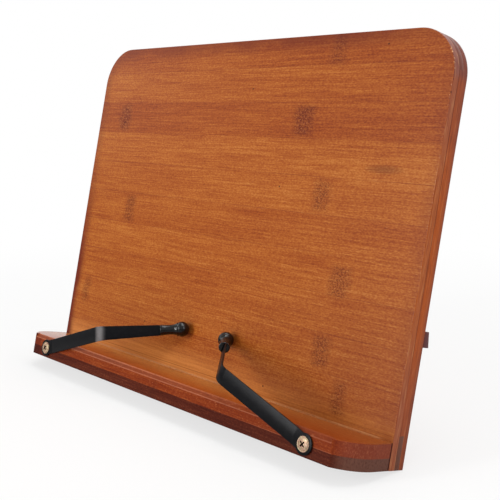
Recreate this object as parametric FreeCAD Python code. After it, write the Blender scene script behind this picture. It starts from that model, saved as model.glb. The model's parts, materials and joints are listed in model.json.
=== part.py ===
"""Folding bamboo reading stand: a reclined board with a page ledge, two swivelling
spring clips, and a hinged rear leg held at its angle by a folding wire bracket.

Lengths are in millimetres and angles in degrees. The board is drawn upright: X to the
right, Y backwards from the back face of its frame, Z up from its bottom edge. It is then
leaned back about its bottom rear edge, which stays on the table.
"""
import math
import os

import FreeCAD
import Part

Vector = FreeCAD.Vector

# board
board_width = 340.0
board_height = 247.5
panel_thickness = 4.9
frame_thickness = 8.1
corner_radius = 28.0
edge_round = 0.5
recline = 12.6
plank_height = 46.5
lowest_seam = 42.0

# frame behind the panel
stile_width = 30.0
top_rail_height = 26.0
bottom_rail_height = 19.2
hinge_rail_height = 20.0
hinge_rail_rise = 5.0

# ledge
ledge_depth = 35.0
ledge_lower = 7.1
ledge_upper = 8.4
ledge_corner = 25.0
ledge_overrun = 3.0
ledge_round = 0.4
bevel_depth = 2.5
bevel_drop = 2.6
bevel_stop = 13.6
bevel_end_round = 2.2

# rear batten
batten_height = 9.0
batten_bottom = 69.0
batten_foot_proud = 4.8
batten_top_proud = 3.2

# butt hinges of the leg
hinge_height = 182.0
hinge_spacing = 76.0
hinge_width = 26.0
knuckle_radius = 2.5
leaf_thickness = 1.2
leaf_reach = 7.8
pin_radius = 0.9
pin_head_radius = 1.5
pin_head = 0.7

# leg
leg_angle = 22.0
leg_width = 150.0
leg_thickness = 8.0
leg_bar_width = 18.0
leg_top_height = 20.0
leg_foot_height = 24.0
notch_count = 5
first_notch = 121.0
notch_pitch = 11.0
notch_depth = 4.0
notch_ramp = 40.0

# wire bracket
wire_radius = 2.0
wire_bend = 6.0
eye_stock = 0.9
eye_offset = 9.0
wire_tail = 4.5

# spring clips
clip_inset = 32.2
clip_drop = 0.4
strap_width = 10.4
strap_thickness = 0.9
strap_eye_radius = 6.2
strap_neck = 7.2
strap_tongue = 5.0
strap_bend = 9.5
strap_lift = 6.9
strap_lift_at = 8.0
strap_run = 61.2
left_strap_bend_at = 80.0
right_strap_bend_at = 69.0
left_clip_rise = 17.4
right_clip_rise = 19.5
tip_ball = 5.3
tip_neck = 3.8
tip_throat = 3.3
tip_length = 20.0
tip_grip = 10.0

# screws
clip_screw_radius = 1.75
clip_screw_length = 20.0
clip_head_radius = 4.4
clip_head_height = 2.1
cross_width = 1.1
cross_length = 4.6
cross_depth = 1.2
screw_point_share = 0.25
wood_screw_radius = 1.5
wood_head_radius = 3.0
wood_head_height = 1.7
ledge_screw_length = 34.0
ledge_screw_spacing = 105.0
batten_screw_length = 11.0
hinge_screw_radius = 0.9
hinge_head_radius = 1.7
hinge_head_height = 0.9
hinge_screw_length = 6.5
hinge_screw_spread = 16.0

# clearances, and the tolerance and passes of the sums below
running_gap = 0.08
free_gap = 0.3
flat_within = 1e-4
bend_passes = 30

# places worked out from the sizes above
half_width = board_width / 2
board_thickness = panel_thickness + frame_thickness
panel_front = -board_thickness
ledge_front = panel_front - ledge_depth
ledge_top = ledge_lower + ledge_upper
axis_offset = knuckle_radius + free_gap
leg_front = 2 * axis_offset
leg_back = leg_front + leg_thickness
leg_half = leg_width / 2
pocket_radius = wire_radius + free_gap
eye_hole = wire_radius + running_gap
eye_outer = eye_hole + 2 * eye_stock
batten_mid = batten_bottom + batten_height / 2
batten_mid_proud = (batten_foot_proud + batten_top_proud) / 2
wire_pivot_y = batten_mid_proud + free_gap + eye_outer
wire_arm_x = leg_half + wire_bend + free_gap
eye_x = wire_arm_x + eye_offset
clip_x = half_width - clip_inset
clip_z = ledge_top / 2 - clip_drop
strap_back = ledge_front - free_gap
ball_depth = panel_front - free_gap - tip_ball - strap_back
bend_at = {"left": left_strap_bend_at, "right": right_strap_bend_at}
clip_rise = {"left": left_clip_rise, "right": right_clip_rise}
hinge_screw_drop = leaf_reach - hinge_head_radius - free_gap

HINGE_AXIS = Vector(0, axis_offset, hinge_height)
WIRE_PIVOT = Vector(0, wire_pivot_y, batten_mid)
X_AXIS = Vector(1, 0, 0)


def block(x0, x1, y0, y1, z0, z1):
    """A box between two corners."""
    return Part.makeBox(x1 - x0, y1 - y0, z1 - z0, Vector(x0, y0, z0))


def prism(points, direction):
    """A closed outline pushed along a direction."""
    corners = [Vector(*point) for point in points]
    return Part.Face(Part.makePolygon(corners + corners[:1])).extrude(direction)


def fuse(shapes):
    """One clean solid from several that touch."""
    return shapes[0].multiFuse(shapes[1:]).removeSplitter()


def turn(shape, centre, degrees):
    """A copy turned about the left-to-right line through a point."""
    turned = shape.copy()
    turned.rotate(centre, X_AXIS, degrees)
    return turned


def lean(shape):
    """A copy of an upright piece leaned back as the board is."""
    return turn(shape, Vector(0, 0, 0), -recline)


def mirror_x(shape):
    return shape.mirror(Vector(0, 0, 0), X_AXIS)


def on_face(edge, coordinate, value):
    """Whether the whole edge lies in one plane of constant x, y or z."""
    box = edge.BoundBox
    low, high = getattr(box, coordinate + "Min"), getattr(box, coordinate + "Max")
    return abs(low - value) < flat_within and abs(high - value) < flat_within


def board_blank(y0, y1, rounded_y):
    """The board's outline between two depths, with the edge at rounded_y eased."""
    blank = block(-half_width, half_width, y0, y1, 0, board_height)
    corners = [edge for edge in blank.Edges
               if on_face(edge, "Z", board_height) and edge.BoundBox.YLength > (y1 - y0) / 2]
    blank = blank.makeFillet(corner_radius, corners)
    eased = [edge for edge in blank.Edges if on_face(edge, "Y", rounded_y)]
    return blank.makeFillet(edge_round, eased)


def countersunk_screw(radius, head_radius, head_height, length):
    """A flat-headed screw pointing along -Y with its head's top at y = 0."""
    head = Part.makeCone(head_radius, radius, head_height, Vector(0, 0, 0), Vector(0, -1, 0))
    shank = Part.makeCylinder(radius, length - radius, Vector(0, 0, 0), Vector(0, -1, 0))
    point = Part.makeCone(radius, screw_point_share * radius, radius, Vector(0, radius - length, 0),
                          Vector(0, -1, 0))
    return fuse([head, shank, point])


def copies(shape, places):
    """Copies of one shape moved to several places."""
    moved = []
    for place in places:
        one = shape.copy()
        one.translate(Vector(*place))
        moved.append(one)
    return moved


def drill(shape, tools):
    """A shape with every tool cut out of it."""
    return shape.cut(Part.makeCompound(tools))


def batten_screws():
    screw = countersunk_screw(wood_screw_radius, wood_head_radius, wood_head_height,
                              batten_screw_length)
    inset = half_width - stile_width / 2
    return copies(screw, [(side * inset, batten_top_proud, batten_mid) for side in (-1, 1)])


def ledge_screws():
    screw = countersunk_screw(wood_screw_radius, wood_head_radius, wood_head_height,
                              ledge_screw_length)
    height = ledge_lower + ledge_upper / 2
    return copies(screw, [(column * ledge_screw_spacing, 0, height) for column in (-1, 0, 1)])


def clip_screw(side):
    """A round-headed screw with a cross recess, driven backwards into the ledge."""
    seat = strap_back - strap_thickness - free_gap
    sphere_radius = (clip_head_radius ** 2 + clip_head_height ** 2) / (2 * clip_head_height)
    ball = Part.makeSphere(sphere_radius, Vector(0, seat - clip_head_height + sphere_radius, 0))
    head = ball.common(block(-clip_head_radius, clip_head_radius, seat - clip_head_height, seat,
                             -clip_head_radius, clip_head_radius))
    shank = Part.makeCylinder(clip_screw_radius, clip_screw_length, Vector(0, seat, 0),
                              Vector(0, 1, 0))
    top = seat - clip_head_height
    slots = [block(-long, long, top, top + cross_depth, -short, short)
             for long, short in ((cross_length / 2, cross_width / 2),
                                 (cross_width / 2, cross_length / 2))]
    screw = fuse([head, shank]).cut(Part.makeCompound(slots))
    screw.translate(Vector(side * clip_x, 0, clip_z))
    return screw


def panel_planks():
    """Edge-glued planks from the bottom of the panel to its top."""
    blank = drill(board_blank(panel_front, -frame_thickness, panel_front), ledge_screws())
    seams = [0.0, lowest_seam]
    while seams[-1] + plank_height < board_height:
        seams.append(seams[-1] + plank_height)
    seams.append(board_height)
    planks = {}
    for number, (low, high) in enumerate(zip(seams, seams[1:]), start=1):
        course = block(-half_width, half_width, panel_front, -frame_thickness, low, high)
        planks["panel_plank_%d" % number] = blank.common(course)
    return planks


def half_lap_frame(blank, half, rim, low, top_height, bottom_height, y0, y1):
    """Two uprights and two cross pieces whose ends halve into the uprights.

    The cross pieces keep the front half at each joint and the uprights the back half.
    """
    height = blank.BoundBox.ZMax
    middle = (y0 + y1) / 2
    inner = half - rim
    rails = {}
    for name, z0, z1 in (("top", height - top_height, height), ("bottom", low, low + bottom_height)):
        rail = fuse([block(-half, half, y0, middle, z0, z1),
                     block(-inner, inner, middle, y1, z0, z1)])
        rails[name] = blank.common(rail)
    uprights = {}
    for name, side in (("left", -1), ("right", 1)):
        x0, x1 = sorted((side * inner, side * half))
        bar = block(x0, x1, y0, y1, low, height)
        uprights[name] = blank.common(bar).cut(Part.makeCompound(list(rails.values())))
    return uprights, rails


def frame_pieces():
    blank = board_blank(-frame_thickness, 0, 0)
    uprights, rails = half_lap_frame(blank, half_width, stile_width, 0, top_rail_height,
                                     bottom_rail_height, -frame_thickness, 0)
    rail_top = hinge_height + hinge_rail_rise
    inner = half_width - stile_width
    hinge_rail = block(-inner, inner, -frame_thickness, 0, rail_top - hinge_rail_height, rail_top)
    screws = hinge_screws(board_side=True)
    return {
        "left_stile": drill(uprights["left"], batten_screws()),
        "right_stile": drill(uprights["right"], batten_screws()),
        "top_rail": rails["top"],
        "bottom_rail": drill(rails["bottom"], ledge_screws()),
        "hinge_rail": drill(hinge_rail, screws),
    }


def screw_eye(side):
    """A ring for the wire's tail on a shank that is screwed into the batten."""
    ring = Part.makeTorus(eye_hole + eye_stock, eye_stock, Vector(side * eye_x, wire_pivot_y,
                                                                  batten_mid), X_AXIS)
    shank_start = wire_pivot_y - eye_hole - eye_stock
    shank = Part.makeCylinder(eye_stock, shank_start - eye_stock, Vector(side * eye_x, shank_start,
                              batten_mid), Vector(0, -1, 0))
    return fuse([ring, shank])


def rear_batten():
    """A full-width bar across the back, its back face sloping in towards its top."""
    top = batten_bottom + batten_height
    section = [(-half_width, 0, batten_bottom), (-half_width, batten_foot_proud, batten_bottom),
               (-half_width, batten_top_proud, top), (-half_width, 0, top)]
    bar = prism(section, Vector(board_width, 0, 0))
    return drill(bar, batten_screws() + [screw_eye(-1), screw_eye(1)])


def ledge_layers():
    """The page ledge: two glued layers with large front corners and a stopped bevel."""
    overrun = ledge_front - ledge_overrun
    blank = block(-half_width, half_width, overrun, panel_front, 0, ledge_top)
    corners = [edge for edge in blank.Edges
               if on_face(edge, "Y", overrun) and edge.BoundBox.ZLength > ledge_lower]
    blank = blank.makeFillet(ledge_corner, corners)
    blank = blank.common(block(-half_width, half_width, ledge_front, panel_front, 0, ledge_top))
    rims = [edge for edge in blank.Edges if on_face(edge, "Z", 0) or on_face(edge, "Z", ledge_top)]
    blank = blank.makeFillet(ledge_round, [edge for edge in rims
                                              if not on_face(edge, "Y", panel_front)])
    reach = half_width - bevel_stop
    slope = prism([(-reach, ledge_front, ledge_top - bevel_drop), (-reach, ledge_front, ledge_top),
                   (-reach, ledge_front + bevel_depth, ledge_top)], Vector(2 * reach, 0, 0))
    stop = block(-reach, reach, ledge_front - bevel_depth, ledge_front + bevel_depth,
                 ledge_lower, ledge_top)
    stop = stop.makeFillet(bevel_end_round, [
        edge for edge in stop.Edges
        if on_face(edge, "Y", ledge_front + bevel_depth) and edge.BoundBox.ZLength > bevel_drop])
    blank = drill(blank.cut(slope.common(stop)), ledge_screws() + [clip_screw(-1), clip_screw(1)])
    wide = block(-half_width, half_width, ledge_front, panel_front, 0, ledge_lower)
    return {"ledge_lower_layer": blank.common(wide), "ledge_upper_layer": blank.cut(wide)}


def hinge_screws(board_side):
    """Leaf screws: into the board when board_side, else into the leg as it lies folded."""
    screw = countersunk_screw(hinge_screw_radius, hinge_head_radius, hinge_head_height,
                              hinge_screw_length)
    face = leaf_thickness
    if not board_side:
        screw.rotate(Vector(0, 0, 0), Vector(0, 0, 1), 180)
        face = leg_front - leaf_thickness
    height = hinge_height - hinge_screw_drop
    return copies(screw, [(side * hinge_spacing / 2 + edge * hinge_screw_spread / 2, face, height)
                          for side in (-1, 1) for edge in (-1, 1)])


def knuckle(start, length, bore):
    """One barrel of a hinge, bored for the pin."""
    centre = Vector(start, axis_offset, hinge_height)
    return Part.makeCylinder(knuckle_radius, length, centre, X_AXIS).cut(
        Part.makeCylinder(bore, length, centre, X_AXIS))


def hinge_leaf(side, board_side):
    """A leaf with its barrels, drawn closed against the board or the folded leg."""
    left = side * hinge_spacing / 2 - hinge_width / 2
    third = hinge_width / 3
    y0, y1 = (0, leaf_thickness) if board_side else (leg_front - leaf_thickness, leg_front)
    plate = block(left, left + hinge_width, y0, y1, hinge_height - leaf_reach, hinge_height)
    clear = knuckle_radius + free_gap
    middle = (left + third - free_gap / 2, left + 2 * third + free_gap / 2)
    if board_side:
        barrels = [knuckle(left, third - free_gap / 2, pin_radius),
                   knuckle(middle[1], third - free_gap / 2, pin_radius)]
        slots = [middle]
    else:
        barrels = [knuckle(left + third + free_gap / 2, third - free_gap, pin_radius + running_gap)]
        slots = [(left, left + third + free_gap / 2),
                 (left + 2 * third - free_gap / 2, left + hinge_width)]
    hollow = Part.makeCylinder(pin_radius + running_gap, hinge_width,
                               Vector(left, axis_offset, hinge_height), X_AXIS)
    notches = [block(x0, x1, y0, y1, hinge_height - clear, hinge_height) for x0, x1 in slots]
    leaf = fuse([plate.cut(Part.makeCompound(notches))] + barrels)
    tools = hinge_screws(board_side)
    if not board_side:
        tools.append(hollow)
    return drill(leaf, tools)


def hinge_pin(side):
    """The pin through the barrels, with a flat head at each end."""
    left = side * hinge_spacing / 2 - hinge_width / 2
    start = Vector(left - pin_head, axis_offset, hinge_height)
    rod = Part.makeCylinder(pin_radius, hinge_width + 2 * pin_head, start, X_AXIS)
    heads = [Part.makeCylinder(pin_head_radius, pin_head, Vector(x, axis_offset, hinge_height),
                               X_AXIS) for x in (left - pin_head, left + hinge_width)]
    return fuse([rod] + heads)


def notch_place(number):
    """The wire's centre in a notch: how far down the folded leg, and how far back."""
    return hinge_height - first_notch + number * notch_pitch, leg_back - notch_depth + pocket_radius


def notch_cutters():
    """Pockets across the leg's back: a square lower wall, and a ramp out at the top."""
    cutters = []
    for number in range(notch_count):
        height, depth = notch_place(number)
        pocket = Part.makeCylinder(pocket_radius, leg_width, Vector(-leg_half, depth, height), X_AXIS)
        rise = leg_back - depth + pocket_radius
        ramp = math.radians(notch_ramp)
        tangent_y = depth - pocket_radius * math.cos(ramp)
        tangent_z = height + pocket_radius * math.sin(ramp)
        mouth_z = tangent_z + (depth + rise - tangent_y) / math.tan(ramp)
        outline = [(-leg_half, depth, height - pocket_radius),
                   (-leg_half, depth + rise, height - pocket_radius),
                   (-leg_half, depth + rise, mouth_z),
                   (-leg_half, tangent_y, tangent_z),
                   (-leg_half, depth, height)]
        cutters.append(fuse([pocket, prism(outline, Vector(leg_width, 0, 0))]))
    return cutters


def leg_pieces():
    """The leg as it lies folded: two notched bars, a hinge bar and a foot bar."""
    low = -leg_foot_height
    blank = block(-leg_half, leg_half, leg_front, leg_back, low, hinge_height)
    uprights, rails = half_lap_frame(blank, leg_half, leg_bar_width, low, leg_top_height,
                                     foot_height() + leg_foot_height - low, leg_front, leg_back)
    return {
        "left_leg_bar": drill(uprights["left"], notch_cutters()),
        "right_leg_bar": drill(uprights["right"], notch_cutters()),
        "leg_hinge_bar": drill(rails["top"], hinge_screws(board_side=False)),
        "leg_foot_bar": rails["bottom"],
    }


def foot_height():
    """Height of the folded leg's lower end at the middle of its thickness."""
    angle = math.radians(leg_angle - recline)
    lean_angle = math.radians(recline)
    axis_height = hinge_height * math.cos(lean_angle) - axis_offset * math.sin(lean_angle)
    middle = axis_offset + leg_thickness / 2
    return hinge_height - (axis_height + middle * math.sin(angle)) / math.cos(angle)


def wire_seat():
    """Centre of the wire's cross bar as it lies in the lowest notch, board upright."""
    height, depth = notch_place(0)
    seat = Vector(0, depth, height) - HINGE_AXIS
    angle = math.radians(leg_angle)
    return HINGE_AXIS + Vector(0, seat.y * math.cos(angle) - seat.z * math.sin(angle),
                               seat.y * math.sin(angle) + seat.z * math.cos(angle))


def wire_length():
    return (wire_seat() - WIRE_PIVOT).Length


def wire_rest_angle():
    """The arms' angle above straight back, board upright."""
    arm = wire_seat() - WIRE_PIVOT
    return math.degrees(math.atan2(arm.z, arm.y))


def wire_fold_range():
    """Turn of the wire from its notch up to where it lies on the folded leg's back."""
    stand_off = leg_back + pocket_radius - wire_pivot_y
    return 90 - math.degrees(math.asin(stand_off / wire_length())) - wire_rest_angle()


def bent_path(points, radius):
    """A planar polyline with its corners rounded by tangent arcs."""
    edges, start = [], points[0]
    for before, corner, after in zip(points, points[1:], points[2:]):
        inward, outward = (corner - before).normalize(), (after - corner).normalize()
        half_turn = inward.getAngle(outward) / 2
        setback = radius * math.tan(half_turn)
        entry, leave = corner - inward * setback, corner + outward * setback
        bisector = (outward - inward).normalize()
        middle = corner + bisector * (radius / math.cos(half_turn) - radius)
        edges += [Part.LineSegment(start, entry).toShape(), Part.Arc(entry, middle, leave).toShape()]
        start = leave
    edges.append(Part.LineSegment(start, points[-1]).toShape())
    return Part.Wire(edges)


def support_wire():
    """A U of round wire: its two tails turn outwards through the screw eyes."""
    reach = wire_length()
    tail = eye_x + eye_stock + wire_tail
    corners = [Vector(tail, 0, 0), Vector(wire_arm_x, 0, 0), Vector(wire_arm_x, reach, 0),
               Vector(-wire_arm_x, reach, 0), Vector(-wire_arm_x, 0, 0), Vector(-tail, 0, 0)]
    path = bent_path(corners, wire_bend)
    ring = Part.Wire(Part.makeCircle(wire_radius, corners[0], X_AXIS))
    wire = path.makePipeShell([ring], True, False)
    wire.translate(WIRE_PIVOT)
    return turn(wire, WIRE_PIVOT, wire_rest_angle())


def walk(steps, offset=0.0):
    """A flat path from behind the strap's eye, moved sideways: its edges, end and heading.

    Each step is a length and how far the path turns left over it, in radians.
    """
    place, heading, edges = Vector(-strap_eye_radius, -strap_thickness / 2, 0), 0.0, []
    for length, bend in steps:
        left = Vector(-math.sin(heading), math.cos(heading), 0)
        if bend:
            centre = place + left * (length / bend)
            outward = [Vector(math.sin(heading + part * bend), -math.cos(heading + part * bend), 0)
                       for part in (0, 0.5, 1)]
            points = [centre + one * (length / bend - offset) for one in outward]
            edges.append(Part.Arc(*points).toShape())
            place = centre + outward[-1] * (length / bend)
        else:
            end = place + Vector(left.y, -left.x, 0) * length
            edges.append(Part.LineSegment(place + left * offset, end + left * offset).toShape())
            place = end
        heading += bend
    return edges, place, heading


def strap_steps(side_name, angle):
    """The strap's straights and bends, up to the middle of its tip's ball.

    It leaves its eye flat on the ledge, lifts away from it and then bends back.
    """
    lift, middle = math.radians(strap_lift), strap_bend + strap_thickness / 2
    return [(strap_eye_radius + strap_lift_at, 0), (middle * lift, -lift),
            (bend_at[side_name] - strap_lift_at - middle * lift, 0),
            (middle * (lift + angle), lift + angle), (strap_run - middle * (lift + angle), 0)]


def strap_angle(side_name):
    """How far the strap's end leans back so that its rubber tip just clears the panel."""
    angle = math.asin(ball_depth / strap_run)
    for _ in range(bend_passes):
        steps = strap_steps(side_name, angle)
        bend_end = walk(steps[:-1])[1]
        angle = math.asin((ball_depth - bend_end.y) / steps[-1][0])
    return angle


def tip_place(side_name):
    """Where the middle of the tip's ball lies, and the strap's direction there."""
    centre, heading = walk(strap_steps(side_name, strap_angle(side_name)))[1:]
    return centre, Vector(math.cos(heading), math.sin(heading), 0)


def flat_strap(side_name):
    """The strap from its screw hole towards +X, its end bent back to the panel (+Y)."""
    reach = strap_eye_radius
    centre, along = tip_place(side_name)
    shoulder = centre + along * (tip_ball - tip_length)
    steps = strap_steps(side_name, strap_angle(side_name))
    steps[-1] = (steps[-1][0] + tip_ball - tip_length + tip_grip, 0)
    sides = [walk(steps, offset)[0] for offset in (-strap_thickness / 2, strap_thickness / 2)]
    caps = [Part.LineSegment(*[side[end].Vertexes[end].Point for side in sides]).toShape()
            for end in (0, -1)]
    band = Part.Face(Part.Wire(Part.sortEdges(sides[0] + sides[1] + caps)[0]))
    band.translate(Vector(0, 0, -reach))
    half, neck, tongue = strap_width / 2, strap_neck / 2, strap_tongue / 2
    taper_from = walk(steps[:3])[1].x
    edge = [(0, half), (taper_from, half), (shoulder.x, neck), (shoulder.x, tongue),
            (centre.x, tongue)]
    outline = prism([(x, -strap_run, -z) for x, z in edge]
                    + [(x, -strap_run, z) for x, z in reversed(edge)], Vector(0, 2 * strap_run, 0))
    eye = Part.makeCylinder(reach, strap_thickness, Vector(0, -strap_thickness, 0), Vector(0, 1, 0))
    hole = Part.makeCylinder(clip_screw_radius + running_gap, strap_thickness,
                             Vector(0, -strap_thickness, 0), Vector(0, 1, 0))
    return band.extrude(Vector(0, 0, 2 * reach)).common(fuse([outline, eye])).cut(hole)


def rubber_tip(side_name, strap):
    """A rubber boot: a neck that grips the strap's end, swelling to a ball."""
    centre = tip_place(side_name)[0]
    foot = Vector(tip_ball - tip_length, 0, 0)
    mouth = foot + Vector(0, tip_neck, 0)
    neck_end = Vector(-math.sqrt(tip_ball ** 2 - tip_neck ** 2), tip_neck, 0)
    throat = Vector((mouth.x + neck_end.x) / 2, tip_throat, 0)
    crown = Vector(tip_ball, 0, 0)
    profile = Part.Wire([
        Part.LineSegment(foot, mouth).toShape(),
        Part.Arc(mouth, throat, neck_end).toShape(),
        Part.Arc(neck_end, Vector(0, tip_ball, 0), crown).toShape(),
        Part.LineSegment(crown, foot).toShape()])
    tip = Part.Face(profile).revolve(Vector(0, 0, 0), X_AXIS, 360)
    tip.rotate(Vector(0, 0, 0), Vector(0, 0, 1), math.degrees(strap_angle(side_name)))
    tip.translate(centre)
    return tip.cut(strap)


def clip_pieces(side_name):
    """A strap and its tip, swung up about the screw and set at their side of the ledge."""
    strap = flat_strap(side_name)
    pieces = {side_name + "_clip_strap": strap,
              side_name + "_clip_tip": rubber_tip(side_name, strap)}
    for name, piece in pieces.items():
        piece.rotate(Vector(0, 0, 0), Vector(0, 1, 0), -clip_rise[side_name])
        piece.translate(Vector(-clip_x, strap_back, clip_z))
        pieces[name] = piece if side_name == "left" else mirror_x(piece)
    return pieces


def board_body():
    """Every piece that is fixed to the board, drawn upright."""
    pieces = panel_planks()
    pieces.update(frame_pieces())
    pieces.update(ledge_layers())
    pieces["rear_batten"] = rear_batten()
    pieces["batten_screws"] = Part.makeCompound(batten_screws())
    pieces["ledge_screws"] = Part.makeCompound(ledge_screws())
    pieces["board_leaf_screws"] = Part.makeCompound(hinge_screws(board_side=True))
    for name, side in (("left", -1), ("right", 1)):
        pieces[name + "_board_leaf"] = hinge_leaf(side, board_side=True)
        pieces[name + "_hinge_pin"] = hinge_pin(side)
        pieces[name + "_screw_eye"] = screw_eye(side)
        pieces[name + "_clip_screw"] = clip_screw(side)
    return pieces


def leg_body():
    """Every piece that swings with the leg, drawn as it lies folded."""
    pieces = leg_pieces()
    pieces["leg_leaf_screws"] = Part.makeCompound(hinge_screws(board_side=False))
    for name, side in (("left", -1), ("right", 1)):
        pieces[name + "_leg_leaf"] = hinge_leaf(side, board_side=False)
    return pieces


def standing_pieces():
    """All pieces as the stand is used, with the board's bottom rear edge at the origin."""
    pieces = {name: lean(piece) for name, piece in board_body().items()}
    under_table = block(-board_width, board_width, -board_width, board_width, -board_width, 0)
    for name, piece in leg_body().items():
        pieces[name] = lean(turn(piece, HINGE_AXIS, leg_angle)).cut(under_table)
    pieces["support_wire"] = lean(support_wire())
    for side_name in ("left", "right"):
        for name, piece in clip_pieces(side_name).items():
            pieces[name] = lean(piece)
    return pieces


def depth_centre(pieces):
    """Middle of the whole stand's depth."""
    box = Part.makeCompound(list(pieces.values())).optimalBoundingBox(False)
    return (box.YMin + box.YMax) / 2


def stand_point(point, shift):
    """Where a point of the upright board lies in the finished part."""
    angle = math.radians(recline)
    return Vector(point.x, point.y * math.cos(angle) + point.z * math.sin(angle) - shift,
                  point.z * math.cos(angle) - point.y * math.sin(angle))


def build():
    """The finished pieces, centred over the table, and how far they were shifted."""
    pieces = standing_pieces()
    shift = depth_centre(pieces)
    for piece in pieces.values():
        piece.translate(Vector(0, -shift, 0))
    return pieces, shift


def main():
    os.makedirs("parts", exist_ok=True)
    pieces, shift = build()
    for name, piece in pieces.items():
        piece.exportStep("parts/%s.step" % name)
        print("%-20s solids %d  volume %9.1f" % (name, len(piece.Solids), piece.Volume))
    print("wire length %.2f, fold %.2f, shift %.3f" % (wire_length(), wire_fold_range(), shift))


main()
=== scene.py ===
import json
import math
import random

import bmesh
import bpy
import numpy as np
from mathutils import Matrix, Vector


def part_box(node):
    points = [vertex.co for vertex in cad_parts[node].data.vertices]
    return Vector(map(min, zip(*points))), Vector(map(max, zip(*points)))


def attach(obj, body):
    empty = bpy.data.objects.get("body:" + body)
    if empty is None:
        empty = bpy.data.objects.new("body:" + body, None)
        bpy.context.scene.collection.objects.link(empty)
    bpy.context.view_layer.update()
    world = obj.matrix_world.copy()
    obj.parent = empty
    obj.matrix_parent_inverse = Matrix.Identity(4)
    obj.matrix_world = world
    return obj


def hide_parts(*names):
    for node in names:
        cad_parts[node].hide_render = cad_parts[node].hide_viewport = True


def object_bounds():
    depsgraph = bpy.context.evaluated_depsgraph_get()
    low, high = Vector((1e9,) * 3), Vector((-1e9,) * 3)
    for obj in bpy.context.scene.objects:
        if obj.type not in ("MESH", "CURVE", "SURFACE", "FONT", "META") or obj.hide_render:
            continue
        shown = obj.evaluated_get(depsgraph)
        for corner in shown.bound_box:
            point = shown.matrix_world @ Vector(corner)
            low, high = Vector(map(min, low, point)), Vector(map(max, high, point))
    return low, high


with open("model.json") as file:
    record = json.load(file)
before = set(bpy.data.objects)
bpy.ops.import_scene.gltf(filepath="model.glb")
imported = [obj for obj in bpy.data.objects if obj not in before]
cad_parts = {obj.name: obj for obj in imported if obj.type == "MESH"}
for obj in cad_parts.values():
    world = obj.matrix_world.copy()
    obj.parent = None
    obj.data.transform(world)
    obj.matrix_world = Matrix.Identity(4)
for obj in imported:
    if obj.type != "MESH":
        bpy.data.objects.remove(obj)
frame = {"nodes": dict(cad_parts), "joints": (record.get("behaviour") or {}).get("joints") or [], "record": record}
cadLow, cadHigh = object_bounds()
nodes = frame["nodes"]
mm = 0.001


# ---- where the leaned board is ----

def leanOfBoard():  # from the direction that the panel faces
    facing = next(mount["axis"] for mount in frame["record"]["mounts"] if mount["name"] == "panel_face")
    return math.atan2(facing[2], -facing[1])


def foldOfLeg():  # how far the leg stands out, from its fold joint
    joint = next(joint for joint in frame["joints"] if joint["name"] == "leg_fold")
    return math.radians(max(abs(limit) for limit in joint["range_deg"]))


lean = leanOfBoard()
legFold = foldOfLeg()


def backOfFrame():  # how far the board's bottom rear edge lies in front of the origin
    points = [v.co for v in nodes["left_stile"].data.vertices]
    depths = [point.y * math.cos(lean) - point.z * math.sin(lean) for point in points]
    return -max(depths) / math.cos(lean)


boardShift = backOfFrame()
# The upright board has x right, y back and z up.
fromBoard = Matrix.Translation((0, -boardShift, 0)) @ Matrix.Rotation(-lean, 4, "X")
toBoard = fromBoard.inverted()


def boardBox(node):  # lowest and highest corner on the upright board, in millimetres
    points = [toBoard @ v.co / mm for v in nodes[node].data.vertices]
    return [Vector(pick(p[axis] for p in points) for axis in range(3)) for pick in (min, max)]


ledgeLow, ledgeHigh = boardBox("ledge_upper_layer")
panelLow, panelHigh = boardBox("panel_plank_6")
board = {
    "halfWidth": cadHigh.x / mm, "height": panelHigh.z, "cornerRadius": 28.0,
    "panelFront": panelLow.y, "panelBack": panelHigh.y,
    "ledgeFront": ledgeLow.y, "ledgeDepth": panelLow.y - ledgeLow.y,
    "ledgeTop": ledgeHigh.z, "ledgeJoint": ledgeLow.z,
    "ledgeCrease": 156.9,  # where the front face meets the round corner
    "chamferDrop": 2.6, "chamferDepth": 2.5, "chamferStop": 13.6,
    "stripHeight": 23.25, "stripFrom": 42.0,  # two bamboo strips to a plank
}


# ---- shader arithmetic ----

def arithmetic(operation, reflected=False):  # a method that adds one Math node
    def method(self, other):
        terms = (other, self) if reflected else (self, other)
        return self.paint.node("Math", {"operation": operation}, terms)
    return method


class Term:  # one shader value, whose arithmetic adds nodes
    def __init__(self, paint, socket):
        self.paint, self.socket = paint, socket

    __add__, __radd__ = arithmetic("ADD"), arithmetic("ADD", reflected=True)
    __sub__, __rsub__ = arithmetic("SUBTRACT"), arithmetic("SUBTRACT", reflected=True)
    __mul__, __rmul__ = arithmetic("MULTIPLY"), arithmetic("MULTIPLY", reflected=True)
    __truediv__, __rtruediv__ = arithmetic("DIVIDE"), arithmetic("DIVIDE", reflected=True)
    __pow__ = arithmetic("POWER")
    atLeast, atMost = arithmetic("MAXIMUM"), arithmetic("MINIMUM")

    def __neg__(self):
        return self * -1.0

    def __abs__(self):
        return self.paint.node("Math", {"operation": "ABSOLUTE"}, (self,))

    def floor(self):
        return self.paint.node("Math", {"operation": "FLOOR"}, (self,))

    def part(self):  # what is left over a whole number
        return self.paint.node("Math", {"operation": "FRACT"}, (self,))

    def step(self, low, high):  # 0 below low, 1 above high, smooth between
        return self.paint.node("MapRange", {"interpolation_type": "SMOOTHSTEP"}, (self, low, high, 0.0, 1.0))

    def fade(self, low, high):  # the other way round
        return 1.0 - self.step(low, high)


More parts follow.
